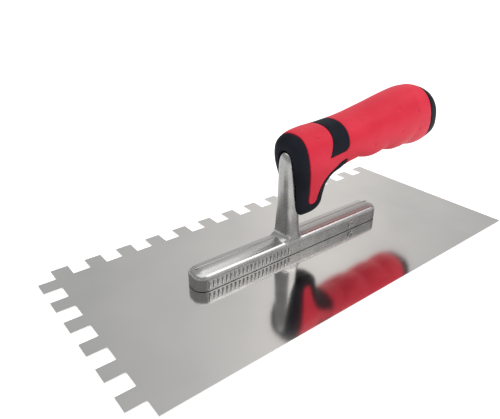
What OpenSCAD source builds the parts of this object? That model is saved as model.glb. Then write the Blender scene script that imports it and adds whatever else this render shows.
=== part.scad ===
// Notched trowel: a comb-edged blade carried by a one-piece die-cast bar and post, with a
// two-material pistol handle pushed onto the tang of the casting and held by one long screw.
// x runs along the blade from the short comb edge to the plain short edge, y across it towards
// the long comb edge, z up.  The origin is the centre of the blade's working face.

/* [Blade] */
// Length of the blade, over the tips of the teeth on its short edge
blade_l = 280; // [240:20:340]
// Width of the blade, over the tips of the teeth on its long edge
blade_w = 130; // [110:20:150]
// Thickness of the stainless sheet
blade_t = 0.7; // [0.6:0.1:0.9]
// Side of a square notch, which is also the width of a tooth
notch = 10; // [4:1:10]

/* [Support bar] */
// Length of the bar along the blade
bar_l = 149; // [130:1:180]
// Width of the bar
bar_w = 16; // [15:0.5:20]
// Height of the crown of the bar above the working face
bar_top = 11.6; // [11:0.1:13]
// Thickness of the adhesive film under the bar
film_t = 0.3; // [0.2:0.1:0.4]
// How far the film stays inside the edge of the bar
film_inset = 0.8; // [0.4:0.1:1.5]
// Number of rivets that hold the blade to the bar
rivets = 6; // [4:1:8]
// Diameter of a rivet's shank
rivet_d = 3.5; // [3:0.1:4]
// Diameter of a rivet's flush head
rivet_head_d = 6; // [5:0.1:7]

/* [Tang and screw] */
// Diameter of the round tang inside the handle
tang_d = 11; // [10:0.5:12]
// Length of the tang along its own axis
tang_l = 56; // [50:1:60]
// Rise of the tang and the handle screw towards the rear, in degrees
tang_rise = 4; // [3:0.5:5]
// Diameter of the handle screw
screw_d = 6; // [5:0.5:6]
// Length of the screw under its head
screw_l = 60; // [50:1:64]
// Gap between the tang and its socket
fit_gap = 0.15; // [0.1:0.05:0.25]

/* [Handle] */
// Thickness of the soft sleeve
sleeve_t = 2.2; // [1.6:0.1:2.6]
// Depth of the finger hollows along the underside
lobe_depth = 1.9; // [0:0.1:2.4]
// Distance from one finger hollow to the next
lobe_pitch = 23; // [20:0.5:28]

/* [Smoothness] */
// Rings of the handle between two of its stations
ring_steps = 3; // [2:1:4]
// Sides of each ring
ring_sides = 24; // [16:4:28]

/* [Hidden] */
$fn = 48;

bar_foot = blade_t + film_t;
bar_shoulder = 3;
crown_rise = 0.8;
bar_corner_r = 6.5;
bar_tip_r = 0.3;
corner_steps = 6;
rivet_depth = 5;
rivet_head_t = 0.6;
rivet_pitch = bar_l / (rivets + 0.25);

// Handle stations from the tip of the horn to the rear dome.  Each is one planar section:
// [outer point x, outer z, inner point x, inner z, half width, squareness of the outer half,
// squareness of the inner half].  The outer point is on the front and top of the handle, the
// inner point on the side where the fingers close.
HANDLE = [
    [-0.4, 24.3, 7.2, 24.2, 5.0, 2.8, 2.6],
    [-4.0, 26.2, 14.2, 26.2, 7.4, 3.4, 3.0],
    [-5.1, 30.0, 18.2, 29.5, 8.3, 4.2, 3.2],
    [-5.3, 37.0, 19.4, 35.8, 9.1, 4.8, 3.2],
    [-5.5, 46.0, 20.4, 43.0, 11.4, 5.0, 3.0],
    [-7.8, 57.0, 24.6, 47.6, 13.6, 5.0, 2.8],
    [-8.8, 65.0, 31.0, 49.0, 14.4, 4.4, 2.6],
    [-8.4, 71.0, 36.5, 50.2, 14.5, 3.4, 2.4],
    [-3.6, 75.6, 42.0, 50.9, 14.8, 2.6, 2.3],
    [6.0, 77.4, 47.0, 50.8, 15.2, 2.4, 2.3],
    [20.0, 78.2, 53.0, 50.6, 15.5, 2.3, 2.3],
    [38.0, 79.8, 61.0, 50.3, 15.8, 2.3, 2.2],
    [58.0, 83.3, 72.0, 50.4, 16.3, 2.2, 2.2],
    [78.0, 87.4, 84.0, 49.8, 16.7, 2.2, 2.2],
    [92.0, 89.6, 93.0, 49.4, 16.9, 2.2, 2.2],
    [99.6, 89.9, 102.8, 49.2, 16.7, 2.2, 2.2],
    [106.5, 89.1, 111.8, 49.9, 16.3, 2.3, 2.3],
    [114.2, 85.8, 117.6, 51.2, 15.1, 2.4, 2.5],
    [119.8, 79.8, 121.8, 54.4, 12.6, 2.5, 2.6],
    [122.9, 73.2, 124.2, 59.6, 8.0, 2.5, 2.6],
    [123.8, 69.6, 124.4, 63.4, 3.2, 2.3, 2.4]
];
tip_station = 0;
cap_station = 16;
last_station = len(HANDLE) - 1;
cap_x = (HANDLE[cap_station][0] + HANDLE[cap_station][2]) / 2;
cap_mid_z = (HANDLE[cap_station][1] + HANDLE[cap_station][3]) / 2;
lobe_start = 48.1;
lobe_fade = 18;

// Post stations from its foot to its domed top, as horizontal sections of the same kind.
POST = [
    [-11.0, 5.0, 0.8, 5.0, 6.6, 4, 4],
    [-11.2, 9.0, 1.0, 9.0, 7.2, 4, 4],
    [-10.9, 12.0, 0.7, 12.0, 7.3, 4, 4],
    [-10.5, 16.0, 0.2, 16.0, 6.9, 4, 4],
    [-10.4, 24.0, 0.0, 24.0, 6.3, 3.8, 3.4],
    [-10.4, 32.0, 0.0, 32.0, 5.8, 3.4, 3],
    [-10.4, 42.0, 0.1, 42.0, 5.5, 3.2, 3],
    [-10.5, 52.0, 0.2, 52.0, 5.3, 3, 2.8],
    [-10.4, 59.0, 0.2, 59.0, 5.1, 2.8, 2.6],
    [-10.0, 62.6, -0.1, 62.6, 4.4, 2.6, 2.4],
    [-9.2, 64.8, -1.0, 64.8, 3.1, 2.2, 2.2],
    [-7.9, 65.7, -2.6, 65.7, 1.5, 2, 2]
];

// Where the soft sleeve shows, seen from the side: behind the front collar, above the black
// edge of the horn and its end under the neck, as [x, z].
SLEEVE_EDGE = [
    [-3.2, 100], [-3.2, 72], [-2.8, 67.5], [-2.2, 63], [-1.3, 58.4], [0.2, 52.5],
    [2.2, 44.2], [3.6, 38.5], [4.4, 33.4], [5.2, 31.8], [7.2, 31.3], [9.8, 31.9],
    [11.2, 33.6], [11.5, 38], [11.9, 42.5], [13.1, 47], [15.4, 50.4], [18.4, 52.6],
    [21.5, 54.4], [24.5, 56], [27.5, 57], [30, 57], [31.6, 55.4], [31.8, 40], [160, 40],
    [160, 100]
];

// Side view of the band window over the neck, as [x, z], and the radius of its rear corner.
band_front = 14.4;
band_rear = 29;
band_low = 61.2;
band_slope = 0.12;
band_lean = 2.6;
band_corner = 4.5;

// Axis of the tang, the screw and their bores: where it starts and its direction.
tang_root = [-4, 0, 60.5];
screw_seat = 82;
screw_head_d = 10;
screw_head_l = 4;
washer_d = 14;
washer_t = 1.2;
web_half = 3.4;
web_back = 12;
web_low = 40;
slot_half_top = 5.8;
slot_half_low = 7.4;
slot_round_z = 60.6;
slot_floor_x = 0.8;
cap_bore_d = 20;
cap_bore_l = 14;
spigot_gap = 0.1;
far = 40;

// One coordinate of a Catmull-Rom curve through the four values, at t between the middle two.
function blend4(p, t) =
    (2 * p[1] + (p[2] - p[0]) * t
    + (2 * p[0] - 5 * p[1] + 4 * p[2] - p[3]) * t * t
    + (3 * p[1] - p[0] - 3 * p[2] + p[3]) * t * t * t) / 2;

// Station at any place u along a list of stations, where a whole u is a listed one.
function station(list, u) =
    let (last = len(list) - 1)
    let (i = min(floor(u), last - 1))
    let (near = [for (k = [i - 1:i + 2]) list[max(0, min(last, k))]])
    [for (c = [0:6]) blend4([for (s = near) s[c]], u - i)];

// Depth of the finger hollows at x, zero outside the barrel.
function lobe(x) =
    lobe_depth * max(0, min(1, (x - lobe_start) / lobe_fade + 1))
    * (0.5 - abs(sin(180 * (x - lobe_start) / lobe_pitch)));

function signed_pow(v, e) = v < 0 ? -pow(-v, e) : pow(v, e);

// One ring of points round a station, moved inwards by inset.
function ring(s, inset) =
    let (outer = [s[0], s[1]])
    let (inner = [s[2], s[3] + lobe(s[2])])
    let (mid = (outer + inner) / 2)
    let (arm = norm(outer - mid) - inset)
    let (dir = (outer - mid) / norm(outer - mid))
    let (half = s[4] - inset)
    [for (k = [0:ring_sides - 1])
        let (a = 360 * k / ring_sides)
        let (e = 2 / (cos(a) > 0 ? s[5] : s[6]))
        let (along = arm * signed_pow(cos(a), e))
        let (across = half * signed_pow(sin(a), e))
        [mid[0] + dir[0] * along, -across, mid[1] + dir[1] * along]];

// Closed solid through a list of rings, which all have the same number of points.
module skin(rings) {
    n = len(rings[0]);
    last = len(rings) - 1;
    sides = [for (r = [0:last - 1], k = [0:n - 1])
        let (a = r * n + k, b = r * n + (k + 1) % n)
        each [[a, b + n, b], [a, a + n, b + n]]];
    polyhedron(
        points = [for (r = rings) each r],
        faces = concat(
            sides,
            [[for (k = [0:n - 1]) k]],
            [[for (k = [n - 1:-1:0]) last * n + k]]
        )
    );
}

// Closed solid through the stations of a list, from place u0 to place u1.
module loft(list, u0, u1, inset = 0, steps = ring_steps) {
    count = round((u1 - u0) * steps);
    skin([for (k = [0:count]) ring(station(list, u0 + (u1 - u0) * k / count), inset)]);
}

// Side view [x, z] turned into a prism that runs right through the handle along y.
module through_side() {
    rotate([90, 0, 0]) linear_extrude(2 * far, center = true) children();
}

module band_window() {
    top = band_low + far;
    rear_low = band_low + band_slope * (band_rear - band_front);
    difference() {
        polygon([
            [band_front, band_low],
            [band_rear, rear_low],
            [band_rear, top],
            [band_front + band_lean * 2, top]
        ]);
        translate([band_rear - band_corner, rear_low - 1])
            difference() {
                square([band_corner + 1, band_corner + 1]);
                translate([0, band_corner + 1]) circle(band_corner);
            }
    }
}

module sleeve_side() {
    difference() {
        polygon(SLEEVE_EDGE);
        band_window();
    }
}

// Everything on the tang axis is drawn along +z and laid along the axis here.
module on_tang_axis() {
    translate(tang_root) rotate([0, 90 - tang_rise, 0]) children();
}

module rounded_plan(length, width, r) {
    for (sx = [-1, 1], sy = [-1, 1])
        translate([sx * (length / 2 - r), sy * (width / 2 - r)]) circle(r);
    square([length - 2 * r, width], center = true);
    square([length, width - 2 * r], center = true);
}

module rivet_places() {
    for (k = [0:rivets - 1])
        translate([(k - (rivets - 1) / 2) * rivet_pitch, 0, 0]) children();
}

module blade() {
    long_cuts = floor((blade_l / notch - 1) / 2);
    short_cuts = floor((blade_w / notch - 1) / 2);
    color("#c4c4c2")
    difference() {
        translate([-blade_l / 2, -blade_w / 2, 0]) cube([blade_l, blade_w, blade_t]);
        for (k = [0:long_cuts])
            translate([-blade_l / 2 + 2 * k * notch, blade_w / 2 - notch, -1])
                cube([notch, notch + 1, blade_t + 2]);
        for (k = [0:short_cuts])
            translate([-blade_l / 2 - 1, -blade_w / 2 + 2 * k * notch, -1])
                cube([notch + 1, notch, blade_t + 2]);
        translate([-blade_l / 2 - 1, -blade_w / 2 - 1, -1]) cube([notch + 1, 2, blade_t + 2]);
        rivet_places() rivet_shape();
    }
}

// A rivet with a flush conical head in the working face.
module rivet_shape() {
    cylinder(h = rivet_depth, d = rivet_d);
    cylinder(h = rivet_head_t, d1 = rivet_head_d, d2 = rivet_d);
}

module blade_rivets() {
    color("#b9bab9") rivet_places() rivet_shape();
}

module bond_film() {
    color("#3a3a3c")
    difference() {
        translate([0, 0, blade_t])
            linear_extrude(film_t)
                rounded_plan(bar_l - 2 * film_inset, bar_w - 2 * film_inset, bar_corner_r - film_inset);
        rivet_places() rivet_shape();
    }
}

// One ring of the bar: its plan outline drawn in by t, at height z.
function bar_ring(t, z) =
    let (r = max(bar_corner_r - t, bar_tip_r))
    let (cx = bar_l / 2 - t - r, cy = bar_w / 2 - t - r)
    [for (q = [0:3], k = [0:corner_steps])
        let (a = 90 * (q + k / corner_steps))
        [(q % 3 == 0 ? cx : -cx) + r * cos(a), (q < 2 ? cy : -cy) + r * sin(a), z]];

// Bar with a round shoulder all the way round its top edge and a low crown along the middle.
module bar_body() {
    r = bar_shoulder;
    shoulder_z = bar_top - crown_rise;
    flat_w = bar_w / 2 - r;
    skin(concat(
        [bar_ring(0, bar_foot), bar_ring(0, shoulder_z - r)],
        [for (a = [15:15:90]) bar_ring(r - r * cos(a), shoulder_z - r + r * sin(a))],
        [for (f = [0.3, 0.6, 0.9]) bar_ring(r + f * flat_w, bar_top - crown_rise * (1 - f) * (1 - f))]
    ));
}

// The tang and the web that joins it to the post, grown by gap to make their socket.
module tang_shape(gap = 0) {
    on_tang_axis() cylinder(h = tang_l + gap, d = tang_d + 2 * gap);
    translate([tang_root[0], -web_half - gap, web_low - gap])
        cube([web_back - tang_root[0] + gap, 2 * (web_half + gap), tang_root[2] - web_low + gap]);
}

module support_bar() {
    thread_l = 30;
    color("#a9a9a8")
    difference() {
        union() {
            bar_body();
            loft(POST, 0, len(POST) - 1, 0, 2);
            tang_shape();
        }
        rivet_places() cylinder(h = rivet_depth, d = rivet_d);
        on_tang_axis() translate([0, 0, tang_l - thread_l]) cylinder(h = thread_l + 1, d = screw_d);
    }
}

// Slot in the front of the handle that the post lies in, seen along x.
module post_slot() {
    translate([slot_floor_x - far, 0, 0])
        rotate([90, 0, 90])
            linear_extrude(far) {
                polygon([
                    [-slot_half_low, 0],
                    [slot_half_low, 0],
                    [slot_half_top, 42],
                    [slot_half_top, slot_round_z],
                    [-slot_half_top, slot_round_z],
                    [-slot_half_top, 42]
                ]);
                translate([0, slot_round_z]) circle(slot_half_top);
            }
}

module handle_core() {
    color("#26292d")
    difference() {
        union() {
            loft(HANDLE, 2, cap_station, sleeve_t);
            difference() {
                loft(HANDLE, tip_station, 12);
                through_side() sleeve_side();
            }
        }
        post_slot();
        tang_shape(fit_gap);
        on_tang_axis() cylinder(h = screw_seat + 1, d = screw_d + 2 * fit_gap);
        on_tang_axis() translate([0, 0, screw_seat]) cylinder(h = far, d = washer_d + 2 * fit_gap);
        translate([cap_x - cap_bore_l, 0, cap_mid_z])
            rotate([0, 90, 0]) cylinder(h = cap_bore_l + 3, d = cap_bore_d);
    }
}

module grip_sleeve() {
    color("#e0455a")
    intersection() {
        difference() {
            loft(HANDLE, 2, cap_station);
            loft(HANDLE, 1.9, cap_station + 0.1, sleeve_t);
        }
        through_side() sleeve_side();
    }
}

module end_cap() {
    spigot_l = 9;
    color("#1f2226")
    union() {
        loft(HANDLE, cap_station, last_station);
        translate([cap_x - spigot_l, 0, cap_mid_z])
            rotate([0, 90, 0]) cylinder(h = spigot_l + 2, d = cap_bore_d - 2 * spigot_gap);
    }
}

module handle_screw() {
    socket_d = 5;
    socket_l = 2.5;
    color("#8d8f92")
    on_tang_axis()
    translate([0, 0, screw_seat + washer_t])
    difference() {
        union() {
            translate([0, 0, -screw_l]) cylinder(h = screw_l, d = screw_d - 2 * spigot_gap);
            cylinder(h = screw_head_l, d = screw_head_d);
        }
        translate([0, 0, screw_head_l - socket_l]) cylinder(h = socket_l + 1, d = socket_d, $fn = 6);
    }
}

module screw_washer() {
    color("#b4b6b8")
    on_tang_axis()
    translate([0, 0, screw_seat])
    difference() {
        cylinder(h = washer_t, d = washer_d);
        translate([0, 0, -1]) cylinder(h = washer_t + 2, d = screw_d + 2 * fit_gap);
    }
}

blade();
blade_rivets();
bond_film();
support_bar();
handle_core();
grip_sleeve();
end_cap();
handle_screw();
screw_washer();
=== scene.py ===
# %% [markdown]
# # A notched trowel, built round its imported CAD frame
# The real tool is a thin stainless comb blade, riveted and glued to a die-cast aluminium bar.
# A pistol handle of hard black plastic with a soft red skin is pushed onto the casting's tang.
# The CAD frame gives every place and size, and this lesson builds the visible surfaces on it.

# %% Load the frame
import math

import bmesh
import bpy
import numpy as np
from mathutils import Matrix, Vector, kdtree


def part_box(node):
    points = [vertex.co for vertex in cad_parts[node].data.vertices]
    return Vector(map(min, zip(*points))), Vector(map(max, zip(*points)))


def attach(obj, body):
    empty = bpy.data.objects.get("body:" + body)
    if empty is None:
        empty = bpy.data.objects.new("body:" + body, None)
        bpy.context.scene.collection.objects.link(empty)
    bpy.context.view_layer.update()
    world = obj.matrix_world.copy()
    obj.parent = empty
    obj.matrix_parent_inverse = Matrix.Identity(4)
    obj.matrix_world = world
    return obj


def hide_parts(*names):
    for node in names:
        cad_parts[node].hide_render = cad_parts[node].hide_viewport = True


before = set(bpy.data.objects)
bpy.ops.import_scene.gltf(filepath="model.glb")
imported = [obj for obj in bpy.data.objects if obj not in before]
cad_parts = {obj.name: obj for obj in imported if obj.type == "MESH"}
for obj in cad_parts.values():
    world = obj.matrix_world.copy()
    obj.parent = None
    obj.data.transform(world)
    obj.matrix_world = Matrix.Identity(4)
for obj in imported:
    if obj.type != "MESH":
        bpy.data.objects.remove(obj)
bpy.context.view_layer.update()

MM = 0.001
scene = bpy.context.scene

# %% [markdown]
# ## Camera
# The tool is looked at from above its near left corner, close enough for some perspective.  A
# camera object with a 35 mm lens does that.  Its heading, dip and bank are given as three turns,
# so each one can be changed on its own, and a small shift frames the tool.

# %% Camera
LENS_MM, SENSOR_MM = 35.271, 36.0
SHIFT = (-0.02677, 0.00267)
CAMERA_PLACE = (-0.185855, -0.195890, 0.161662)
HEADING, DIP, BANK = (math.radians(v) for v in (-39.539, 26.821, 0.769))
camera_data = bpy.data.cameras.new("studio_camera")
camera_data.lens, camera_data.sensor_width = LENS_MM, SENSOR_MM
camera_data.shift_x, camera_data.shift_y = SHIFT
camera_data.clip_start = 0.01
camera = bpy.data.objects.new("studio_camera", camera_data)
scene.collection.objects.link(camera)
camera.matrix_world = (
    Matrix.Translation(CAMERA_PLACE)
    @ Matrix.Rotation(HEADING, 4, "Z")
    @ Matrix.Rotation(math.pi / 2 - DIP, 4, "X")
    @ Matrix.Rotation(BANK, 4, "Z")
)
scene.camera = camera
scene.view_settings.view_transform = "Standard"
print("camera at", [round(v, 3) for v in camera.location])

# %% [markdown]
# ## Node helper and colours
# Every material and geometry tree below is made of nodes.  One small function adds a node with
# its settings and links, and one turns a printed sRGB colour into the linear values that
# Blender works in.

# %% Node helper and colours
def linear(hex_colour):
    """Linear RGBA of an sRGB hex colour."""
    values = [int(hex_colour[i:i + 2], 16) / 255 for i in (1, 3, 5)]
    return [v / 12.92 if v <= 0.04045 else ((v + 0.055) / 1.055) ** 2.4 for v in values] + [1.0]


def add(tree, kind, inputs=None, stops=(), **settings):
    """Adds one node; an input that is a socket is linked, any other value is set."""
    node = tree.nodes.new(kind)
    for name, value in settings.items():
        setattr(node, name, value)
    for name, value in (inputs or {}).items():
        if isinstance(value, bpy.types.NodeSocket):
            tree.links.new(value, node.inputs[name])
        else:
            node.inputs[name].default_value = value
    for index, (place, colour) in enumerate(stops):
        if index >= len(node.color_ramp.elements):
            node.color_ramp.elements.new(place)
        element = node.color_ramp.elements[index]
        element.position, element.color = place, linear(colour)
    return node


def new_material(name, **uniform):
    """A material with one shader, whose uniform values are set on the shader's own sockets."""
    material = bpy.data.materials.new(name)
    material.use_nodes = True
    tree = material.node_tree
    tree.nodes.clear()
    values = {key.replace("_", " ").title().replace("Ior", "IOR"): v for key, v in uniform.items()}
    shader = add(tree, "ShaderNodeBsdfPrincipled", values)
    add(tree, "ShaderNodeOutputMaterial", {"Surface": shader.outputs["BSDF"]})
    return material, tree, shader


def dress(tree, shader, tint, gloss, bump):
    """Links a material's colour, roughness and relief to its shader."""
    tree.links.new(tint.outputs["Color"], shader.inputs["Base Color"])
    tree.links.new(gloss.outputs["Result"], shader.inputs["Roughness"])
    tree.links.new(bump.outputs["Normal"], shader.inputs["Normal"])


def per_mm(size):
    """Texture scale that makes one feature this many millimetres wide."""
    return 1 / (size * MM)


print("middle grey, linear:", round(linear("#808080")[0], 3))

# %% [markdown]
# ## Floor and light
# The tool lies on a wide sheet of white acrylic that glows a little, so it stays plain white with
# no hard shadow.  Polished metal shows only what is around it, so the room is a soft grey dome
# that brightens towards one heading, which gives the steel its slow change of tone.  A ceiling
# scrim sheds even light.  A softbox at the front right draws the streak along the bar's rounded
# shoulder, and a wider, weaker one fills the front of the handle.

# %% Floor and light
BRIGHT_HEADING = (0.719, 0.695, 0)
DOME_STRENGTH = 1.09
# How squarely a direction faces the bright heading, from 0 to 1, and the dome's tone there.
DOME_TONES = [(0.0, "#B3B4B6"), (0.6, "#B2B3B5"), (0.87, "#BEBFC0"), (0.95, "#CBCBCB"),
              (0.985, "#D8D7D6"), (1.0, "#EAE8E6")]
world = bpy.data.worlds.new("studio_dome")
world.use_nodes = True
world.node_tree.nodes.clear()
scene.world = world
dome = world.node_tree
direction = add(dome, "ShaderNodeTexCoord")
level = add(dome, "ShaderNodeVectorMath", {
    0: direction.outputs["Generated"], 1: (1, 1, 0)}, operation="MULTIPLY")
heading = add(dome, "ShaderNodeVectorMath", {0: level.outputs["Vector"]}, operation="NORMALIZE")
squareness = add(dome, "ShaderNodeVectorMath", {
    0: heading.outputs["Vector"], 1: BRIGHT_HEADING}, operation="DOT_PRODUCT")
tone = add(dome, "ShaderNodeValToRGB", {"Fac": squareness.outputs["Value"]}, stops=DOME_TONES)
light_of_dome = add(dome, "ShaderNodeBackground", {
    "Color": tone.outputs["Color"], "Strength": DOME_STRENGTH,
})
add(dome, "ShaderNodeOutputWorld", {"Surface": light_of_dome.outputs["Background"]})


def softbox(name, place, aim, size, power):
    """A square area light that faces a point."""
    data = bpy.data.lights.new(name, "AREA")
    data.size, data.energy = size, power
    light = bpy.data.objects.new(name, data)
    scene.collection.objects.link(light)
    light.location = place
    light.rotation_euler = (Vector(aim) - Vector(place)).to_track_quat("-Z", "Y").to_euler()
    return light


TOOL_MIDDLE = (0, 0, 0.03)
softbox("ceiling_scrim", place=(0, 0, 4.0), aim=(0, 0, 0), size=5.0, power=90.0)
softbox("front_right_softbox", place=(0.60, -0.53, 0.99), aim=TOOL_MIDDLE, size=0.7, power=3.5)
softbox("front_fill", place=(0.62, -1.12, 0.85), aim=TOOL_MIDDLE, size=1.2, power=2.1)

# In metres.  The floor lies a hair below the blade, so the two faces never share a plane.
FLOOR_HALF, FLOOR_DROP = 6.0, 0.0001
floor_mesh = bpy.data.meshes.new("pale_floor")
floor_mesh.from_pydata(
    [(x, y, -FLOOR_DROP) for x, y in ((-1, -1), (1, -1), (1, 1), (-1, 1))], [], [(0, 1, 2, 3)]
)
floor_mesh.transform(Matrix.Diagonal((FLOOR_HALF, FLOOR_HALF, 1, 1)))
floor = bpy.data.objects.new("pale_floor", floor_mesh)
scene.collection.objects.link(floor)
acrylic, tree, shader = new_material(
    "backlit_white_acrylic", roughness=0.6, emission_strength=0.45
)
shader.inputs["Base Color"].default_value = linear("#F5F5F5")
shader.inputs["Emission Color"].default_value = linear("#FFFFFF")
floor_mesh.materials.append(acrylic)
print("floor is", 2 * FLOOR_HALF, "m wide")

# %% [markdown]
# ## Rolled stainless steel for the blade
# The blade is cold-rolled spring steel, brushed along its length and left almost a mirror.  Close
# things reflect sharply and far ones blur.  So it is a metal with a low roughness, which a
# fine noise, stretched 40 mm along the brushing and 0.3 mm across it, lifts a little.  The same
# function makes the screw's zinc plating, a bluer and duller grey, and the rivets' ground heads.

# %% Rolled stainless steel
CLOUD_MM = 45


def brushed_metal(name, low, high, along, across, smooth, rough, relief):
    """Metal with streaks of given length and width in mm, and a range of roughness."""
    material, tree, shader = new_material(name, metallic=1.0)
    where = add(tree, "ShaderNodeTexCoord")
    stretched = add(tree, "ShaderNodeMapping", {
        "Vector": where.outputs["Object"],
        "Scale": (per_mm(along), per_mm(across), per_mm(across)),
    })
    streaks = add(tree, "ShaderNodeTexNoise", {
        "Vector": stretched.outputs["Vector"], "Scale": 1.0, "Detail": 3.0, "Roughness": 0.6,
    })
    clouds = add(tree, "ShaderNodeTexNoise", {
        "Vector": where.outputs["Object"], "Scale": per_mm(CLOUD_MM), "Detail": 2.0,
    })
    tint = add(tree, "ShaderNodeValToRGB", {"Fac": clouds.outputs["Fac"]},
               stops=[(0.3, low), (0.7, high)])
    gloss = add(tree, "ShaderNodeMapRange", {
        "Value": streaks.outputs["Fac"], "From Min": 0.3, "From Max": 0.7,
        "To Min": smooth, "To Max": rough,
    })
    bump = add(tree, "ShaderNodeBump", {
        "Height": streaks.outputs["Fac"], "Strength": relief, "Distance": 0.02 * MM,
    })
    dress(tree, shader, tint, gloss, bump)
    return material


blade_steel = brushed_metal("rolled_stainless_steel", "#D2D1CF", "#DAD8D5",
                            along=40, across=0.3, smooth=0.085, rough=0.14, relief=0.05)
plated_steel = brushed_metal("zinc_plated_steel", "#A9ACB0", "#C2C5C9",
                             along=6, across=0.4, smooth=0.25, rough=0.38, relief=0.1)
rivet_steel = brushed_metal("ground_rivet_steel", "#A4A3A1", "#BAB9B7",
                            along=12, across=0.3, smooth=0.2, rough=0.32, relief=0.2)
print("metals made:", blade_steel.name, plated_steel.name, rivet_steel.name)

# %% [markdown]
# ## Die-cast aluminium
# The bar and post are pressure die-cast, then tumbled with ceramic chips until they are satin.
# Faces that look up are painted lighter and the sides greyer, as painted light from above, with
# random patches; the skin has a grain of about 0.6 mm.  The tone follows which way the surface
# faces.

# %% Die-cast aluminium
CAST_GRAIN_MM, CAST_PATCH_MM = 0.6, 7
cast_metal, tree, shader = new_material("tumbled_die_cast_aluminium", metallic=1.0)
where = add(tree, "ShaderNodeTexCoord")
facing = add(tree, "ShaderNodeSeparateXYZ", {"Vector": where.outputs["Normal"]})
grain = add(tree, "ShaderNodeTexNoise", {
    "Vector": where.outputs["Object"], "Scale": per_mm(CAST_GRAIN_MM),
    "Detail": 4.0, "Roughness": 0.65,
})
patches = add(tree, "ShaderNodeTexNoise", {
    "Vector": where.outputs["Object"], "Scale": per_mm(CAST_PATCH_MM), "Detail": 3.0,
})
# Painted light: the upward part of the normal lifts the tint, so tops are lighter and sides
# greyer, added to random patches of tone.
painted_top_light_and_patches = add(tree, "ShaderNodeMath", {0: facing.outputs["Z"], 1: patches.outputs["Fac"]},
             operation="ADD")
tint = add(tree, "ShaderNodeValToRGB", {"Fac": painted_top_light_and_patches.outputs["Value"]},
           stops=[(0.35, "#949391"), (1.0, "#B0AFAD")])
gloss = add(tree, "ShaderNodeMapRange", {
    "Value": grain.outputs["Fac"], "From Min": 0.3, "From Max": 0.7,
    "To Min": 0.2, "To Max": 0.34,
})
bump = add(tree, "ShaderNodeBump", {
    "Height": grain.outputs["Fac"], "Strength": 0.1, "Distance": 0.05 * MM,
})
dress(tree, shader, tint, gloss, bump)
print("cast metal nodes:", len(tree.nodes))

# %% [markdown]
# ## Moulded plastics
# The black core is polypropylene from a spark-eroded mould, whose skin has pits of about 0.4 mm.
# The red skin is a thermoplastic rubber moulded over it, with a finer grain and slow changes of
# tone.  The glue film under the bar is dull black, painted shade for the thin gap at the bar's
# foot.
# All three are dielectrics with an IOR near 1.5, and their rough skins trap light, so their
# specular level is low.

# %% Moulded plastics
TONE_CHANGE_MM = 18


def moulded(name, low, high, grain, relief, smooth, rough, ior, specular):
    """Moulded plastic with a grain in mm and slow changes of tone."""
    material, tree, shader = new_material(name, ior=ior, specular_ior_level=specular)
    where = add(tree, "ShaderNodeTexCoord")
    clouds = add(tree, "ShaderNodeTexNoise", {
        "Vector": where.outputs["Object"], "Scale": per_mm(TONE_CHANGE_MM), "Detail": 4.0,
    })
    pits = add(tree, "ShaderNodeTexNoise", {
        "Vector": where.outputs["Object"], "Scale": per_mm(grain), "Detail": 2.0,
    })
    tint = add(tree, "ShaderNodeValToRGB", {"Fac": clouds.outputs["Fac"]},
               stops=[(0.3, low), (0.7, high)])
    gloss = add(tree, "ShaderNodeMapRange", {
        "Value": pits.outputs["Fac"], "From Min": 0.3, "From Max": 0.7,
        "To Min": smooth, "To Max": rough,
    })
    bump = add(tree, "ShaderNodeBump", {
        "Height": pits.outputs["Fac"], "Strength": relief, "Distance": 0.05 * MM,
    })
    dress(tree, shader, tint, gloss, bump)
    return material


black_plastic = moulded("spark_eroded_polypropylene", "#1B1D23", "#24272E", grain=0.4,
                        relief=0.35, smooth=0.45, rough=0.6, ior=1.49, specular=0.03)
red_rubber = moulded("overmoulded_soft_rubber", "#CE263B", "#D73044", grain=0.35,
                     relief=0.3, smooth=0.42, rough=0.56, ior=1.5, specular=0.15)
# Painted shade: the glue film is dull black so that the thin gap at the bar's foot reads as a dark
# line.
glue_film_painted_shade = moulded("glue_film_black_painted_shade", "#101012", "#17171A", grain=0.8,
               relief=0.5, smooth=0.4, rough=0.6, ior=1.5, specular=0.3)
print("plastics made:", black_plastic.name, red_rubber.name, glue_film_painted_shade.name)

# %% [markdown]
# ## Pieces from points
# The handle and the casting are free-form, so their surfaces are computed as points and faces in
# millimetres.  Three small functions turn such a surface into a finished piece: in metres, at the
# origin, smooth except where two faces meet sharply, and riding on the only body.

# %% Pieces from points
def enclosed(points, faces):
    """Volume inside a closed surface, negative if its faces point inwards."""
    total = 0.0
    for face in faces:
        a = points[face[0]]
        for i, j in zip(face[1:-1], face[2:]):
            total += np.dot(a, np.cross(points[i], points[j])) / 6
    return total


def make_mesh(name, points, faces, material):
    """Object from points in mm, with only the points that its faces use."""
    used = sorted({i for face in faces for i in face})
    renumber = {old: new for new, old in enumerate(used)}
    mesh = bpy.data.meshes.new(name)
    mesh.from_pydata([tuple(points[i] * MM) for i in used], [],
                     [[renumber[i] for i in face] for face in faces])
    mesh.materials.append(material)
    piece = bpy.data.objects.new(name, mesh)
    scene.collection.objects.link(piece)
    return piece


def clean(piece, sharp=50, merge=0.004):
    """Merges doubled points, drops empty faces and shades the rest smooth."""
    work = bmesh.new()
    work.from_mesh(piece.data)
    bmesh.ops.remove_doubles(work, verts=work.verts, dist=merge * MM)
    bmesh.ops.dissolve_degenerate(work, dist=merge * MM / 4, edges=work.edges)
    bmesh.ops.triangulate(work, faces=[f for f in work.faces if len(f.verts) > 4])
    work.to_mesh(piece.data)
    open_edges = sum(1 for e in work.edges if not e.is_manifold)
    print(piece.name, "faces:", len(work.faces), "open or doubled edges:", open_edges,
          "volume, mm3:", round(work.calc_volume(signed=True) / MM ** 3))
    work.free()
    piece.data.polygons.foreach_set("use_smooth", [True] * len(piece.data.polygons))
    piece.data.set_sharp_from_angle(angle=math.radians(sharp))
    return piece


def finished(piece, slot, *nodes):
    """Puts a piece on the body and hides the CAD nodes that it stands for; its slot is not used.
    """
    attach(piece, "root")
    if nodes:
        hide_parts(*nodes)


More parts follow.
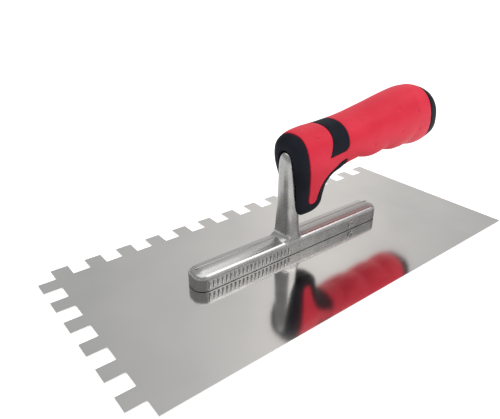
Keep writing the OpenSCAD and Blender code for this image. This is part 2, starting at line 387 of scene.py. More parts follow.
# %% [markdown]
# ## Sections along a bent spine
# A pistol grip is drawn as a row of planar sections.  Each is given by the point on its front or
# top, the point on the finger side, its half width, and how square each half is.  A smooth curve
# through each number gives any section between two listed ones.

# %% Sections along a bent spine
# In mm: x and z of the outer point, x and z of the inner one, half width, and the superellipse
# power of the outer and the inner half.
HANDLE = np.array([
    [-0.4, 24.3, 7.2, 24.2, 5.0, 2.8, 2.6],
    [-4.0, 26.2, 14.2, 26.2, 7.4, 3.4, 3.0],
    [-5.1, 30.0, 18.2, 29.5, 8.3, 4.2, 3.2],
    [-5.3, 37.0, 19.4, 35.8, 9.1, 4.8, 3.2],
    [-5.5, 46.0, 20.4, 43.0, 11.4, 5.0, 3.0],
    [-7.8, 57.0, 24.6, 47.6, 13.6, 5.0, 2.8],
    [-8.8, 65.0, 31.0, 49.0, 14.4, 4.4, 2.6],
    [-8.4, 71.0, 36.5, 50.2, 14.5, 3.4, 2.4],
    [-3.6, 75.6, 42.0, 50.9, 14.8, 2.6, 2.3],
    [6.0, 77.4, 47.0, 50.8, 15.2, 2.4, 2.3],
    [20.0, 78.2, 53.0, 50.6, 15.5, 2.3, 2.3],
    [38.0, 79.8, 61.0, 50.3, 15.8, 2.3, 2.2],
    [58.0, 83.3, 72.0, 50.4, 16.3, 2.2, 2.2],
    [78.0, 87.4, 84.0, 49.8, 16.7, 2.2, 2.2],
    [92.0, 89.6, 93.0, 49.4, 16.9, 2.2, 2.2],
    [99.6, 89.9, 102.8, 49.2, 16.7, 2.2, 2.2],
    [106.5, 89.1, 111.8, 49.9, 16.3, 2.3, 2.3],
    [114.2, 85.8, 117.6, 51.2, 15.1, 2.4, 2.5],
    [119.8, 79.8, 121.8, 54.4, 12.6, 2.5, 2.6],
    [122.9, 73.2, 124.2, 59.6, 8.0, 2.5, 2.6],
    [123.8, 69.6, 124.4, 63.4, 3.2, 2.3, 2.4],
])
# Finger lobes: the first groove, the space between grooves, the depth, and the run before the
# first groove in which they grow.
LOBE_START, LOBE_PITCH, LOBE_DEPTH, LOBE_FADE = 48.1, 23.0, 1.9, 18.0
QUARTER_SAMPLES = 181


def section(table, u):
    """Section at place u along a table, on a Catmull-Rom curve through its rows."""
    last = len(table) - 1
    i = min(int(u), last - 1)
    t = u - i
    p = [table[max(0, min(last, k))] for k in (i - 1, i, i + 1, i + 2)]
    return (2 * p[1] + (p[2] - p[0]) * t + (2 * p[0] - 5 * p[1] + 4 * p[2] - p[3]) * t ** 2
            + (3 * p[1] - p[0] - 3 * p[2] + p[3]) * t ** 3) / 2


def quarter(power, arm, half, count):
    """Evenly spaced points on a quarter of a superellipse, from its arm to its half width."""
    turn = np.linspace(0, math.pi / 2, QUARTER_SAMPLES)
    c, s = np.abs(np.cos(turn)), np.sin(turn)
    radius = (c ** power + s ** power) ** (-1 / power)
    along, across = arm * radius * c, half * radius * s
    run = np.concatenate([[0], np.cumsum(np.hypot(np.diff(along), np.diff(across)))])
    want = np.linspace(0, run[-1], count + 1)
    return np.interp(want, run, along), np.interp(want, run, across)


def ring(row, count, grow=1.0):
    """4 * count points round one section; grow shrinks it about its middle."""
    past = row[2] - LOBE_START
    wave = abs(math.sin(math.pi * past / LOBE_PITCH))
    lobe = LOBE_DEPTH * min(1, max(0, past / LOBE_FADE + 1)) * (0.5 - wave)
    outer, inner = row[0:2], np.array([row[2], row[3] + lobe])
    mid, arm = (outer + inner) / 2, np.linalg.norm(outer - inner) / 2
    along_dir = (outer - mid) / arm
    a1, c1 = quarter(row[5], arm * grow, row[4] * grow, count)
    a2, c2 = quarter(row[6], arm * grow, row[4] * grow, count)
    along = np.concatenate([a1[:-1], -a2[:0:-1], -a2[:-1], a1[:0:-1]])
    across = np.concatenate([-c1[:-1], -c2[:0:-1], c2[:-1], c1[:0:-1]])
    return np.stack([mid[0] + along_dir[0] * along, across, mid[1] + along_dir[1] * along], 1)


print("first point of a ring, mm:", ring(section(HANDLE, 10.5), 4).round(1)[0])

# %% [markdown]
# ## A closed skin over the sections
# The rings are joined into quads about 0.75 mm across, fine enough for the finger lobes to stay
# crisp.  Each end closes with smaller and smaller rings down to one point, pushed out a little so
# that it is a dome and not a flat end.

# %% A closed skin over the sections
CLOSING_SHARES = (0.92, 0.75, 0.5, 0.25)
SKIN_STEP, QUARTER_POINTS, END_DOME = 0.75, 34, 0.6


def skin(table, step, count, dome=0.0):
    """Points and outward faces of a closed surface over all the sections of a table."""
    places = []
    for i in range(len(table) - 1):
        far = max(np.hypot(*(table[i + 1][0:2] - table[i][0:2])),
                  np.hypot(*(table[i + 1][2:4] - table[i][2:4])))
        steps = max(2, math.ceil(far / step))
        places += [i + k / steps for k in range(steps)]
    places.append(len(table) - 1)
    rings = [ring(section(table, u), count) for u in places]
    first, last = table[0], table[-1]

    def end_rings(row, outward):
        middle = (row[0:2] + row[2:4]) / 2
        made = []
        for share in CLOSING_SHARES:
            shift = outward * dome * math.sqrt(1 - share ** 2)
            made.append(ring(row, count, share) + [shift[0], 0, shift[1]])
        tip = np.array([middle[0] + outward[0] * dome, 0, middle[1] + outward[1] * dome])
        return made, tip

    def way_out(row, nearby):
        step_out = (row[0:2] + row[2:4]) / 2 - (nearby[0:2] + nearby[2:4]) / 2
        return step_out / np.linalg.norm(step_out)

    start_rings, start_tip = end_rings(first, way_out(first, table[1]))
    last_rings, end_tip = end_rings(last, way_out(last, table[-2]))
    rings = start_rings[::-1] + rings + last_rings
    n = 4 * count
    points = np.concatenate(rings + [start_tip[None], end_tip[None]])
    faces = [(r * n + k, r * n + (k + 1) % n, (r + 1) * n + (k + 1) % n, (r + 1) * n + k)
             for r in range(len(rings) - 1) for k in range(n)]
    top = (len(rings) - 1) * n
    faces += [(len(points) - 2, (k + 1) % n, k) for k in range(n)]
    faces += [(len(points) - 1, top + k, top + (k + 1) % n) for k in range(n)]
    if enclosed(points, faces) < 0:
        faces = [face[::-1] for face in faces]
    return points, faces


def with_normals(points, faces):
    """Each point with the surface direction at it, as six columns."""
    normals = np.zeros_like(points)
    for face in faces:
        a, b, c = points[face[0]], points[face[1]], points[face[2]]
        way = np.cross(b - a, c - a)
        if len(face) == 4:
            way = np.cross(c - a, points[face[3]] - b)
        for i in face:
            normals[i] += way
    normals /= np.maximum(np.linalg.norm(normals, axis=1), 1e-12)[:, None]
    return np.concatenate([points, normals], 1)


handle_points, handle_faces = skin(HANDLE, SKIN_STEP, QUARTER_POINTS, dome=END_DOME)
handle_data = with_normals(handle_points, handle_faces)
print("handle skin:", len(handle_points), "points, volume, mm3:",
      round(enclosed(handle_points, handle_faces)))

# %% [markdown]
# ## Cutting a skin along a drawn line
# Two plastics meet along lines that a mould maker draws on the side view.  A signed distance to
# that drawing is measured at every point; where it changes sign along an edge, the edge gets a new
# point and the face is split, so the seam is a clean curve and not a staircase.

# %% Cutting a skin along a drawn line
SNAP = 0.03


def side_distance(outline, points):
    """Distance in mm to an outline drawn in x and z, positive inside it."""
    p = points[:, [0, 2]]
    near = np.full(len(p), 1e9)
    inside = np.zeros(len(p), bool)
    for a, b in zip(outline, np.roll(outline, -1, axis=0)):
        edge = b - a
        t = np.clip(((p - a) @ edge) / (edge @ edge), 0, 1)
        near = np.minimum(near, np.hypot(*(p - a - t[:, None] * edge).T))
        if a[1] != b[1]:
            crosses = (a[1] > p[:, 1]) != (b[1] > p[:, 1])
            inside ^= crosses & (p[:, 0] < a[0] + (p[:, 1] - a[1]) * edge[0] / edge[1])
    return np.where(inside, near, -near)


def split(data, faces, field):
    """Splits the faces that the zero line of field crosses."""
    values = list(np.where(np.abs(field) < SNAP, 0.0, field))
    rows, made, out = [], {}, []
    for face in faces:
        here = [values[i] for i in face]
        if min(here) >= 0 or max(here) <= 0:
            out.append(face)
            continue
        above, below = [], []
        for a, b in zip(face, face[1:] + face[:1]):
            if values[a] >= 0:
                above.append(a)
            if values[a] <= 0:
                below.append(a)
            if values[a] * values[b] < 0:
                key = (min(a, b), max(a, b))
                if key not in made:
                    share = values[a] / (values[a] - values[b])
                    made[key] = len(data) + len(rows)
                    rows.append(data[a] + (data[b] - data[a]) * share)
                above.append(made[key])
                below.append(made[key])
        out += [tuple(half) for half in (above, below) if len(half) > 2]
    return (np.concatenate([data, rows]) if rows else data), out


def centres(data, faces):
    """The middle of each face."""
    return np.array([data[list(face), :3].mean(0) for face in faces])


def border(faces):
    """Edges that only one face has, in that face's direction."""
    seen = {(a, b) for face in faces for a, b in zip(face, face[1:] + face[:1])}
    return [(a, b) for a, b in seen if (b, a) not in seen]


print("snap distance, mm:", SNAP)

# %% [markdown]
# ## Where the two plastics meet
# Seen from the side, the red skin starts behind a collar over the post, stays above a black edge
# round the horn, and has a window over the neck where the core shows through.

# %% Where the two plastics meet
def smooth_line(points, steps=6):
    """Catmull-Rom curve through side-view points."""
    table = np.array(points, float)
    curve = [section(table, i + k / steps) for i in range(len(table) - 1) for k in range(steps)]
    return curve + [table[-1]]


# In mm, x and z.  Each outline closes far outside the handle, where nothing is cut.
SEAM = [[-3.2, 78], [-3.2, 72], [-2.8, 67.5], [-2.2, 63], [-1.3, 58.4], [0.2, 52.5], [2.2, 44.2],
        [3.6, 38.5], [4.4, 33.6], [5.2, 31.9], [7.2, 31.3], [9.6, 31.9], [11.0, 33.8], [11.4, 38],
        [11.9, 42.5], [13.1, 47.0], [15.4, 50.4], [18.4, 52.6], [21.5, 54.4], [24.5, 56.0],
        [27.5, 57.0], [30, 57.0], [31.6, 55.4], [31.8, 52]]
red_side = np.array(smooth_line(SEAM) + [[31.8, 40], [160, 40], [160, 100], [-3.2, 100]])
WINDOW_X, WINDOW_Z, WINDOW_R = 24.5, 67.2, 4.5
window_side = np.array(
    [[14.4, 61.4], [14.8, 61.1]]
    + [[WINDOW_X + WINDOW_R * math.sin(a), WINDOW_Z - WINDOW_R * math.cos(a)]
       for a in np.linspace(0, math.pi / 2, 7)]
    + [[29.2, 100], [19.6, 100]]
)
CAP_X, CAP_MID_Z, CAP_LEAN = 109.1, 69.5, 0.136


def rubber_field(points):
    """Distance inside the area that rubber covers, negative where the core shows."""
    return np.minimum(side_distance(red_side, points), -side_distance(window_side, points))


def before_cap(points):
    """Distance in front of the leaning joint of the cap."""
    return CAP_X - points[:, 0] - CAP_LEAN * (points[:, 2] - CAP_MID_Z)


shell, shell_faces = split(handle_data, handle_faces, rubber_field(handle_data))
shell, shell_faces = split(shell, shell_faces, before_cap(shell))
middle = centres(shell, shell_faces)
front = before_cap(middle) > 0
covered = rubber_field(middle) > 0
red_faces = [f for f, here, red in zip(shell_faces, front, covered) if here and red]
black_faces = [f for f, here, red in zip(shell_faces, front, covered) if here and not red]
cap_faces = [f for f, here in zip(shell_faces, front) if not here]
print("faces: red", len(red_faces), "black", len(black_faces), "cap", len(cap_faces))

# %% [markdown]
# ## Rolled edges
# No moulded edge is sharp: at a seam each plastic turns down in a small quarter round, and the two
# rounds leave a fine dark groove.  Rings are cut beside the border at set distances, and their
# points sink as a quarter circle does.

# %% Rolled edges
RING_SHARES = (0.13, 0.38, 0.68, 1.0)


def reach(data, edges):
    """Distance of every point from a border, measured to close samples along its edges."""
    shares = np.linspace(0, 1, 9)[:-1]
    samples = [data[a, :3] + (data[b, :3] - data[a, :3]) * s for a, b in edges for s in shares]
    tree = kdtree.KDTree(len(samples))
    for i, p in enumerate(samples):
        tree.insert(p, i)
    tree.balance()
    return np.array([tree.find(p)[2] for p in data[:, :3]])


def cut_rings(data, faces, edges, radius):
    """Cuts the rings that the roll needs beside the border."""
    for share in RING_SHARES:
        data, faces = split(data, faces, reach(data, edges) - share * radius(data))
    return data, faces


def roll_depth(data, edges, radius):
    """How far each point sinks in the quarter round beside a border."""
    size = radius(data)
    part = np.clip(1 - reach(data, edges) / size, 0, 1)
    return size * (1 - np.sqrt(1 - part ** 2))


print("rings at", RING_SHARES, "of the radius")

# %% [markdown]
# ## The soft red skin
# The skin is 2 mm of rubber over the core.  It is one closed shell: the outside with its rolled
# edges, an inside 2 mm below it, and walls between the two at every border.  Small oval dents give
# grip on each flank.

# %% The soft red skin
SKIN_T = 2.0
DENT_LONG, DENT_WIDE, DENT_DEPTH = 2.3, 1.3, 0.55
SEAM_ROLL, REAR_ROLL, REAR_FROM_X = 0.6, 0.8, 100
DENTS = [(5.2, 10.7, 74.1), (43.6, 10.4, 77.5), (60.5, 14.6, 74.5), (76.3, 13.5, 80.0),
         (93.0, 16.0, 76.7), (52.0, 16.0, 62.0), (77.9, 16.5, 65.8), (97.0, 16.4, 64.0)]


def dents(points):
    """Depth of the oval dents, the same on both flanks."""
    depth = np.zeros(len(points))
    for x, y, z in DENTS:
        for side in (-1, 1):
            off = points - [x, side * y, z]
            far = np.sqrt((off[:, 0] / DENT_LONG) ** 2
                          + (off[:, 1] ** 2 + off[:, 2] ** 2) / DENT_WIDE ** 2)
            depth += DENT_DEPTH * np.clip(1 - far ** 2, 0, 1) ** 1.5
    return depth


def red_radius(data):
    """The rubber's rolled edge, a little bolder at the cap."""
    return np.where(data[:, 0] > REAR_FROM_X, REAR_ROLL, SEAM_ROLL)


red_edges = border(red_faces)
red_data, red_faces_cut = cut_rings(shell, red_faces, red_edges, red_radius)
sink = roll_depth(red_data, red_edges, red_radius) + dents(red_data[:, :3])
outside = red_data[:, :3] - red_data[:, 3:] * sink[:, None]
inside = red_data[:, :3] - red_data[:, 3:] * SKIN_T
n = len(red_data)
red_shell_faces = (red_faces_cut
                   + [tuple(i + n for i in face[::-1]) for face in red_faces_cut]
                   + [(b, a, a + n, b + n) for a, b in border(red_faces_cut)])
grip_points = np.concatenate([outside, inside])
grip = make_mesh("grip_sleeve_skin", grip_points, red_shell_faces, red_rubber)
clean(grip)
finished(grip, "soft_grip", "grip_sleeve")

# %% [markdown]
# ## The black core
# The core is one moulding: level with the skin in the collar, round the horn and in the window,
# and 2.3 mm lower wherever rubber covers it.  A slot in its front takes the post, so the slot's
# rim is rolled as well, and its walls run back to a flat floor.

# %% The black core
CORE_DROP = 2.3
SLOT_FLOOR_X, SLOT_ROUND_Z = 0.8, 60.6
SLOT_TOP, SLOT_LOW, SLOT_TAPER_Z = 5.8, 7.4, 42.0
WINDOW_ROLL, COLLAR_ROLL, SLOT_ROLL = 0.5, 1.3, 0.9
WINDOW_FROM_X, WINDOW_FROM_Z = 12, 56
NEAR_CAP = 0.5


def slot_field(data):
    """Distance outside the slot that the post lies in, negative inside it."""
    y, z = np.abs(data[:, 1]), data[:, 2]
    width = SLOT_TOP + (SLOT_LOW - SLOT_TOP) * np.clip(1 - z / SLOT_TAPER_Z, 0, 1)
    beside = np.where(z > SLOT_ROUND_Z, np.hypot(y, z - SLOT_ROUND_Z) - SLOT_TOP, y - width)
    return np.maximum(beside, data[:, 0] - SLOT_FLOOR_X)


def seam_radius(data):
    """The collar and horn have a bold edge, the window a fine one."""
    window = (data[:, 0] > WINDOW_FROM_X) & (data[:, 2] > WINDOW_FROM_Z)
    return np.where(window, WINDOW_ROLL, COLLAR_ROLL)


def slot_radius(data):
    """The slot's rim has the same edge all the way round."""
    return np.full(len(data), SLOT_ROLL)


seam = set(border(black_faces))
core_data, core_faces = split(shell, black_faces, slot_field(shell))
middle = centres(core_data, core_faces)
core_faces = [f for f, s in zip(core_faces, slot_field(middle)) if s > 0]
all_edges = border(core_faces)
slot_edges = [e for e in all_edges if e not in seam]
seam_edges = [e for e in all_edges if e in seam]
core_data, core_faces = cut_rings(core_data, core_faces, seam_edges, seam_radius)
core_data, core_faces = cut_rings(core_data, core_faces, slot_edges, slot_radius)
sink = (roll_depth(core_data, seam_edges, seam_radius)
        + roll_depth(core_data, slot_edges, slot_radius))
level = core_data[:, :3] - core_data[:, 3:] * sink[:, None]
sunk = core_data[:, :3] - core_data[:, 3:] * CORE_DROP
on_floor = level.copy()
on_floor[:, 0] = SLOT_FLOOR_X
n = len(core_data)
print("seam edges", len(seam_edges), "slot edges", len(slot_edges))


def loops(edges):
    """Closed loops of points, each in the direction of its edges."""
    after, found = dict(edges), []
    while after:
        start = next(iter(after))
        loop, here = [start], after.pop(start)
        while here != start and here in after:
            loop.append(here)
            here = after.pop(here)
        found.append(tuple(loop))
    return found


at_cap = np.abs(before_cap(shell)) < NEAR_CAP
rear_edges = [e for e in border(red_faces) if at_cap[e[0]]]
faces = core_faces + [tuple(i + n for i in face) for face in red_faces]
faces += [(b, a, a + n, b + n) for a, b in seam_edges]
faces += [(b, a, a + 2 * n, b + 2 * n) for a, b in slot_edges]
faces += [tuple(i + 2 * n for i in loop) for loop in loops(slot_edges)]
faces += [tuple(i + n for i in loop[::-1]) for loop in loops(rear_edges)]
core_points = np.concatenate([level, sunk, on_floor])
core = make_mesh("handle_core_moulding", core_points, faces, black_plastic)
clean(core)
finished(core, "hard_plastic", "handle_core")

# %% [markdown]
# ## The end cap
# A plug closes the rear, after the handle screw is tight.  It is the rear part of the same skin,
# with a rolled rim at its joint and a flat face against the core.

# %% The end cap
CAP_ROLL = 1.0


def cap_radius(data):
    """The cap's rim has the same edge all the way round."""
    return np.full(len(data), CAP_ROLL)


cap_edges = border(cap_faces)
cap_data, cap_faces_cut = cut_rings(shell, cap_faces, cap_edges, cap_radius)
sink = roll_depth(cap_data, cap_edges, cap_radius)
cap_faces_cut += [loop[::-1] for loop in loops(cap_edges)]
cap = make_mesh("end_cap_plug", cap_data[:, :3] - cap_data[:, 3:] * sink[:, None],
                cap_faces_cut, black_plastic)
clean(cap)
finished(cap, "hard_plastic", "end_cap")

# %% [markdown]
# ## The casting
# Bar, post and tang are one die casting with a soft radius wherever they meet.  Bar and post are
# first drawn as closed skins of their own: the bar from stacked plan outlines, because its
# shoulder and crown run all the way round, and the post from sections up its height.

# %% The casting
BAR_L, BAR_W, BAR_TOP, BAR_FOOT = 149.1, 16.1, 11.7, 1.0
# The bar is drawn this much deeper than its foot, and the rest is cut off flat later.
SPARE_FOOT = 2.0
SHOULDER, CROWN, CORNER_R, LEAST_CORNER_R = 3.0, 0.8, 6.5, 0.3
POST_STEP, POST_QUARTER_POINTS = 1.0, 16
# The columns are those of the handle's table.
POST = np.array([
    [-14.6, 9.6, 2.4, 9.6, 7.3, 4, 4],
    [-14.0, 11.2, 2.2, 11.2, 7.35, 4, 4],
    [-12.2, 12.2, 1.4, 12.2, 7.3, 4, 4],
    [-11.2, 13.6, 0.8, 13.6, 7.1, 4, 4],
    [-10.7, 16.5, 0.4, 16.5, 6.9, 4, 4],
    [-10.5, 24.0, 0.2, 24.0, 6.5, 3.8, 3.6],
    [-10.5, 32.0, 0.2, 32.0, 6.0, 3.4, 3.2],
    [-10.5, 42.0, 0.3, 42.0, 5.7, 3.2, 3.0],
    [-10.6, 52.0, 0.4, 52.0, 5.5, 3.0, 2.8],
    [-10.5, 59.0, 0.4, 59.0, 5.3, 2.8, 2.6],
    [-10.1, 62.6, 0.0, 62.6, 4.6, 2.6, 2.4],
    [-9.3, 64.9, -0.9, 64.9, 3.3, 2.2, 2.2],
    [-8.0, 65.8, -2.5, 65.8, 1.6, 2, 2],
])


def bar_ring(inset, z, steps=8):
    """The bar's plan outline drawn in by inset, at height z."""
    r = max(CORNER_R - inset, LEAST_CORNER_R)
    cx, cy = BAR_L / 2 - inset - r, BAR_W / 2 - inset - r
    return np.array([[(cx if q % 3 == 0 else -cx) + r * math.cos(a),
                      (cy if q < 2 else -cy) + r * math.sin(a), z]
                     for q in range(4) for k in range(steps + 1)
                     for a in [math.pi / 2 * (q + k / steps)]])


def stacked(rings):
    """Closed skin through rings that all have the same number of points."""
    n, points = len(rings[0]), np.concatenate(rings)
    faces = [(r * n + k, r * n + (k + 1) % n, (r + 1) * n + (k + 1) % n, (r + 1) * n + k)
             for r in range(len(rings) - 1) for k in range(n)]
    faces += [tuple(range(n))[::-1], tuple(range(len(points) - n, len(points)))]
    return points, faces


shoulder_z = BAR_TOP - CROWN
bar_rings = [bar_ring(0, BAR_FOOT - SPARE_FOOT), bar_ring(0, shoulder_z - SHOULDER)]
bar_rings += [bar_ring(SHOULDER * (1 - math.cos(a)), shoulder_z - SHOULDER * (1 - math.sin(a)))
              for a in np.linspace(0.2, math.pi / 2, 7)]
bar_rings += [bar_ring(SHOULDER + f * (BAR_W / 2 - SHOULDER), BAR_TOP - CROWN * (1 - f) ** 2)
              for f in (0.2, 0.4, 0.6, 0.8, 0.95)]
bar_points, bar_faces = stacked(bar_rings)
post_points, post_faces = skin(POST, POST_STEP, POST_QUARTER_POINTS)
print("bar and post drawn:", len(bar_points), len(post_points), "points")

# %% [markdown]
# ## Melting the casting together
# A die has no knife-sharp inner corner, so the casting has a fillet wherever its parts meet.  A
# bevel fails where free-form skins cross.  A voxel remesh of the bar, the post, the tang and the
# web between them works everywhere, and a few smoothing passes round what it leaves.

# %% Melt the casting together
TANG_ROOT, TANG_RISE, TANG_D, TANG_L = (-4.0, 0.0, 60.5), 4.0, 11.0, 56.0
WEB_MIDDLE, WEB_SIZE = (4, 0, 50.25), (16, 6.8, 20.5)
VOXEL, SMOOTHING_PASSES = 0.42, 5
work = bmesh.new()
for points, faces in ((bar_points, bar_faces), (post_points, post_faces)):
    verts = [work.verts.new(p * MM) for p in points]
    for face in faces:
        work.faces.new([verts[i] for i in face])
tang_turn = Matrix.Translation([v * MM for v in TANG_ROOT]) @ Matrix.Rotation(
    math.radians(90 - TANG_RISE), 4, "Y")
bmesh.ops.create_cone(work, cap_ends=True, segments=48, radius1=TANG_D / 2 * MM,
                      radius2=TANG_D / 2 * MM, depth=TANG_L * MM,
                      matrix=tang_turn @ Matrix.Translation((0, 0, TANG_L / 2 * MM)))
web_place = Matrix.Translation([v * MM for v in WEB_MIDDLE])
web_shape = Matrix.Diagonal([*[v * MM for v in WEB_SIZE], 1])
bmesh.ops.create_cube(work, size=1.0, matrix=web_place @ web_shape)
bmesh.ops.recalc_face_normals(work, faces=work.faces)
casting_mesh = bpy.data.meshes.new("cast_bar_and_post")
work.to_mesh(casting_mesh)
work.free()
casting = bpy.data.objects.new("cast_bar_and_post", casting_mesh)
scene.collection.objects.link(casting)
melt = casting.modifiers.new("melt", "REMESH")
melt.mode, melt.voxel_size = "VOXEL", VOXEL * MM
soften = casting.modifiers.new("soften", "SMOOTH")
soften.factor, soften.iterations = 0.5, SMOOTHING_PASSES


def applied(piece):
    """Turns a piece and its modifiers into a plain mesh."""
    graph = bpy.context.evaluated_depsgraph_get()
    mesh = bpy.data.meshes.new_from_object(piece.evaluated_get(graph), depsgraph=graph)
    piece.modifiers.clear()
    piece.data = mesh
    return piece


applied(casting)
work = bmesh.new()
work.from_mesh(casting.data)
bmesh.ops.bisect_plane(work, geom=work.verts[:] + work.edges[:] + work.faces[:],
                       plane_co=(0, 0, BAR_FOOT * MM), plane_no=(0, 0, 1), clear_inner=True)
bmesh.ops.holes_fill(work, edges=[e for e in work.edges if e.is_boundary])
work.to_mesh(casting.data)
work.free()
casting.data.materials.clear()
casting.data.materials.append(cast_metal)
clean(casting, sharp=60)
finished(casting, "cast_aluminium", "support_bar")

# %% [markdown]
# ## Rows and beads with Geometry Nodes
# Rivets, cast ribs and the line where the die halves meet all repeat a part or follow a path.
# One tree sets a part out along a line, another runs a round bead along a path.  Both have named
# inputs, realise their instances and set the material.

# %% Rows and beads with Geometry Nodes
BEAD_SIDES = 8


def new_tree(name, sockets):
    """A geometry tree with named inputs; returns it with its input node's sockets."""
    tree = bpy.data.node_groups.new(name, "GeometryNodeTree")
    tree.interface.new_socket("Geometry", in_out="INPUT", socket_type="NodeSocketGeometry")
    for label, kind in sockets:
        tree.interface.new_socket(label, in_out="INPUT", socket_type=kind)
    tree.interface.new_socket("Geometry", in_out="OUTPUT", socket_type="NodeSocketGeometry")
    return tree, add(tree, "NodeGroupInput").outputs


def close_tree(tree, given, geometry):
    """Every tree ends in realised instances with their material."""
    real = add(tree, "GeometryNodeRealizeInstances", {"Geometry": geometry})
    dressed = add(tree, "GeometryNodeSetMaterial", {
        "Geometry": real.outputs["Geometry"], "Material": given["Finish"],
    })
    add(tree, "NodeGroupOutput", {"Geometry": dressed.outputs["Geometry"]})


row_tree, given = new_tree("row_of_parts", [
    ("Count", "NodeSocketInt"), ("Start", "NodeSocketVector"), ("Step", "NodeSocketVector"),
    ("Part", "NodeSocketObject"), ("Finish", "NodeSocketMaterial"),
])
line = add(row_tree, "GeometryNodeMeshLine", {
    "Count": given["Count"], "Start Location": given["Start"], "Offset": given["Step"],
})
part = add(row_tree, "GeometryNodeObjectInfo", {"Object": given["Part"]})
placed = add(row_tree, "GeometryNodeInstanceOnPoints", {
    "Points": line.outputs["Mesh"], "Instance": part.outputs["Geometry"],
})
close_tree(row_tree, given, placed.outputs["Instances"])

bead_tree, given = new_tree("bead_along_path", [
    ("Radius", "NodeSocketFloat"), ("Finish", "NodeSocketMaterial"),
])
path = add(bead_tree, "GeometryNodeMeshToCurve", {"Mesh": given["Geometry"]})
profile = add(bead_tree, "GeometryNodeCurvePrimitiveCircle", {
    "Resolution": BEAD_SIDES, "Radius": given["Radius"],
})
bead = add(bead_tree, "GeometryNodeCurveToMesh", {
    "Curve": path.outputs["Curve"], "Profile Curve": profile.outputs["Curve"], "Fill Caps": True,
})
close_tree(bead_tree, given, bead.outputs["Mesh"])


def grown(name, tree, values, start_mesh=None):
    """A piece made by a tree, with each input set by its socket's identifier."""
    piece = bpy.data.objects.new(name, start_mesh or bpy.data.meshes.new(name))
    scene.collection.objects.link(piece)
    modifier = piece.modifiers.new(name, "NODES")
    modifier.node_group = tree
    for item in tree.interface.items_tree:
        if item.item_type == "SOCKET" and item.in_out == "INPUT" and item.name in values:
            modifier[item.identifier] = values[item.name]
    return clean(applied(piece), sharp=40, merge=0.0)


print("trees:", row_tree.name, bead_tree.name)

# %% [markdown]
# ## Rivets
# Six steel rivets pass through the sheet into the bar, with countersunk heads ground flush with
# the working face.  One is turned as a small lathe part, and the row tree repeats it.

# %% Rivets
RIVETS, RIVET_SIDES = 6, 32
# The ground face is this share of the head, and its rim rises this far, in mm.
FACE_SHARE, RIM_RISE = 0.98, 0.06
CONE_TOP, SHANK_FOOT, TIP_BEVEL = 0.6, 0.7, 0.3
CONE_R, SHANK_R, TIP_R = 1.8, 1.75, 1.45
rivet_low, rivet_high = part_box("blade_rivets")
head_r = (rivet_high.y - rivet_low.y) / 2
pitch = (rivet_high.x - rivet_low.x - 2 * head_r) / (RIVETS - 1)
rivet_outline = [
    (head_r * FACE_SHARE, 0), (head_r, RIM_RISE * MM), (CONE_R * MM, CONE_TOP * MM),
    (SHANK_R * MM, SHANK_FOOT * MM), (SHANK_R * MM, rivet_high.z - TIP_BEVEL * MM),
    (TIP_R * MM, rivet_high.z),
]
work = bmesh.new()
rings = [[work.verts.new((r * math.cos(a), r * math.sin(a), z))
          for a in np.linspace(0, 2 * math.pi, RIVET_SIDES, endpoint=False)]
         for r, z in rivet_outline]
for low, high in zip(rings, rings[1:]):
    for k in range(RIVET_SIDES):
        work.faces.new((low[k], low[(k + 1) % RIVET_SIDES], high[(k + 1) % RIVET_SIDES], high[k]))
work.faces.new(rings[0][::-1])
work.faces.new(rings[-1])
rivet_mesh = bpy.data.meshes.new("one_rivet")
work.to_mesh(rivet_mesh)
work.free()
one_rivet = bpy.data.objects.new("one_rivet", rivet_mesh)
scene.collection.objects.link(one_rivet)
rivets = grown("flush_rivets", row_tree, {
    "Count": RIVETS, "Start": (-pitch * (RIVETS - 1) / 2, 0, 0), "Step": (pitch, 0, 0),
    "Part": one_rivet, "Finish": rivet_steel,
})
bpy.data.objects.remove(one_rivet)
finished(rivets, "rivet_steel", "blade_rivets")

# %% [markdown]
# ## Cast marks on the bar
# The near side of the real bar carries raised casting marks.  Here they are a plain row of small
# ribs and one ring, and a fine bead along the top where the two halves of the die met.

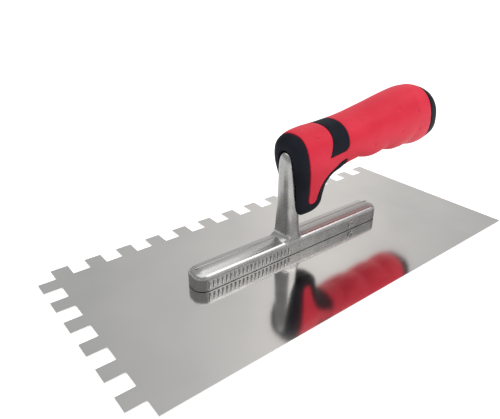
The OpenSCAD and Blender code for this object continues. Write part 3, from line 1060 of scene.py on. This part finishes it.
# %% Cast marks on the bar
RIB_COUNT, RIB_START_X, RIB_STEP, RIB_Z = 21, -68.0, 2.9, 4.7
RIB_SIZE, RIB_BEVEL, RIB_SINK = (1.2, 0.9, 5.0), 0.3, 0.1
work = bmesh.new()
bmesh.ops.create_cube(work, size=1.0, matrix=Matrix.Diagonal((*[v * MM for v in RIB_SIZE], 1)))
bmesh.ops.bevel(work, geom=work.edges[:], offset=RIB_BEVEL * MM, segments=2, affect="EDGES",
                profile=0.5)
rib_mesh = bpy.data.meshes.new("one_rib")
work.to_mesh(rib_mesh)
work.free()
one_rib = bpy.data.objects.new("one_rib", rib_mesh)
scene.collection.objects.link(one_rib)
ribs = grown("cast_rib_row", row_tree, {
    "Count": RIB_COUNT, "Start": (RIB_START_X * MM, -(BAR_W / 2 - RIB_SINK) * MM, RIB_Z * MM),
    "Step": (RIB_STEP * MM, 0, 0), "Part": one_rib, "Finish": cast_metal,
})
bpy.data.objects.remove(one_rib)
finished(ribs, "cast_aluminium")

RING_X, RING_Z, RING_R, RING_POINTS = 46, 4.8, 2.0, 28
RING_PROUD, RING_BEAD = 0.05, 0.4
ring_path = bpy.data.meshes.new("mould_ring")
ring_path.from_pydata(
    [((RING_X + RING_R * math.cos(a)) * MM, -(BAR_W / 2 + RING_PROUD) * MM,
      (RING_Z + RING_R * math.sin(a)) * MM)
     for a in np.linspace(0, 2 * math.pi, RING_POINTS, endpoint=False)],
    [(k, (k + 1) % RING_POINTS) for k in range(RING_POINTS)], [],
)
mould_ring = grown("mould_ring", bead_tree, {
    "Radius": RING_BEAD * MM, "Finish": cast_metal}, ring_path)
finished(mould_ring, "cast_aluminium")

# The parting line runs along the bar's top on both sides of the post.
FLASH_RUNS, FLASH_POINTS = ((-71, -14.5), (4.5, 71)), 12
FLASH_Y, FLASH_SINK, FLASH_BEAD = 1.2, 0.12, 0.3
flash_path = bpy.data.meshes.new("die_parting_line")
flash_path.from_pydata(
    [(x * MM, FLASH_Y * MM, (BAR_TOP - FLASH_SINK) * MM)
     for low, high in FLASH_RUNS for x in np.linspace(low, high, FLASH_POINTS)],
    [(k, k + 1) for k in range(2 * FLASH_POINTS - 1) if k != FLASH_POINTS - 1], [],
)
flash = grown("die_parting_line", bead_tree, {
    "Radius": FLASH_BEAD * MM, "Finish": cast_metal}, flash_path)
finished(flash, "cast_aluminium")

# %% [markdown]
# ## The pieces that the frame already has right
# The punched blade, the glue film, the screw and its washer have simple true shapes, so the
# CAD nodes stay and only get their finishes; the glue film's dull black is painted shade at the
# bar's foot.

# %% Finishes for the carried-over pieces
# The glue film's dull black finish paints the shade at the bar's foot.
for node, finish in (("blade", blade_steel), ("bond_film", glue_film_painted_shade),
                     ("handle_screw", plated_steel), ("screw_washer", plated_steel)):
    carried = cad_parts[node]
    carried.data.materials.clear()
    carried.data.materials.append(finish)
    print(node, "is now", finish.name)
